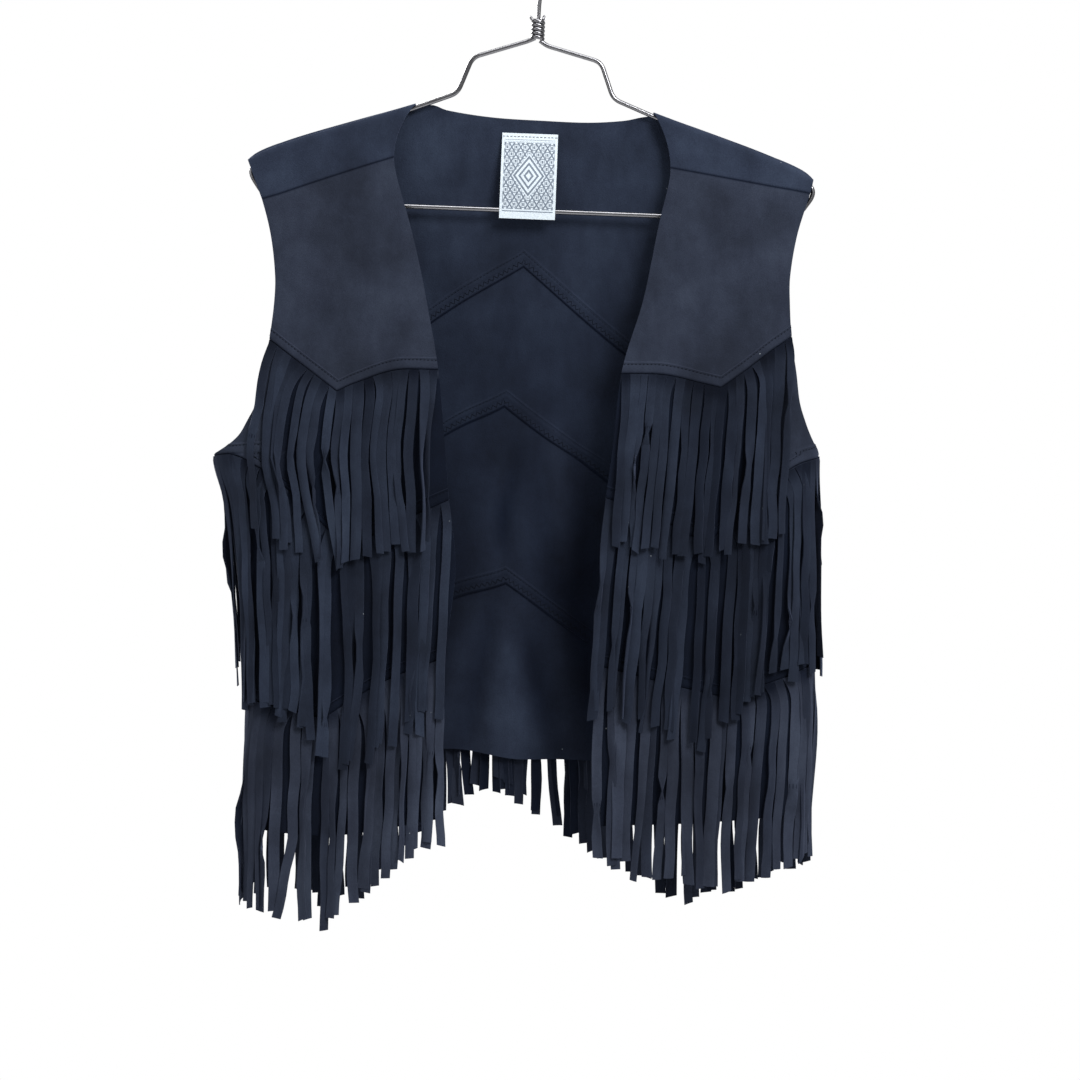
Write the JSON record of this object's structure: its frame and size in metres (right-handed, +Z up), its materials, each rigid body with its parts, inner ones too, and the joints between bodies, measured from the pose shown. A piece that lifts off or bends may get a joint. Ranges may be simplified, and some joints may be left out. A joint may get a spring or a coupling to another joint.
{
  "type": "fringe vest on wire hanger",
  "caption": "Open-front suede-cloth vest with chevron seams and tiers of cut fringe, hanging on a notched wire hanger.",
  "frame": {"origin": "inside top of the hanger's hook, where it bears on a rail", "axes": "+Z up, +X to the right as the open front is seen, +Y towards the back of the vest"},
  "size_m": [0.4686, 0.0796, 0.7843],
  "materials": {
    "suede_cloth": "matte dark navy faux suede with a short soft nap",
    "label_cloth": "woven pale label cloth with a blue-grey pattern",
    "bright_wire": "bright plated steel wire"
  },
  "bodies": {
    "root": {"front_yoke_left": "suede_cloth", "front_chest_left": "suede_cloth", "front_waist_left": "suede_cloth", "front_skirt_left": "suede_cloth", "fringe_yoke_left": "suede_cloth", "fringe_chest_left": "suede_cloth", "fringe_waist_left": "suede_cloth", "front_yoke_right": "suede_cloth", "front_chest_right": "suede_cloth", "front_waist_right": "suede_cloth", "front_skirt_right": "suede_cloth", "fringe_yoke_right": "suede_cloth", "fringe_chest_right": "suede_cloth", "fringe_waist_right": "suede_cloth", "back_yoke": "suede_cloth", "back_chest": "suede_cloth", "back_waist": "suede_cloth", "back_skirt": "suede_cloth", "fringe_yoke_back": "suede_cloth", "fringe_chest_back": "suede_cloth", "fringe_waist_back": "suede_cloth", "neck_label": "label_cloth", "hanger_frame": "bright_wire", "hanger_hook": "bright_wire", "hanger_collar": "bright_wire"}
  },
  "joints": []
}
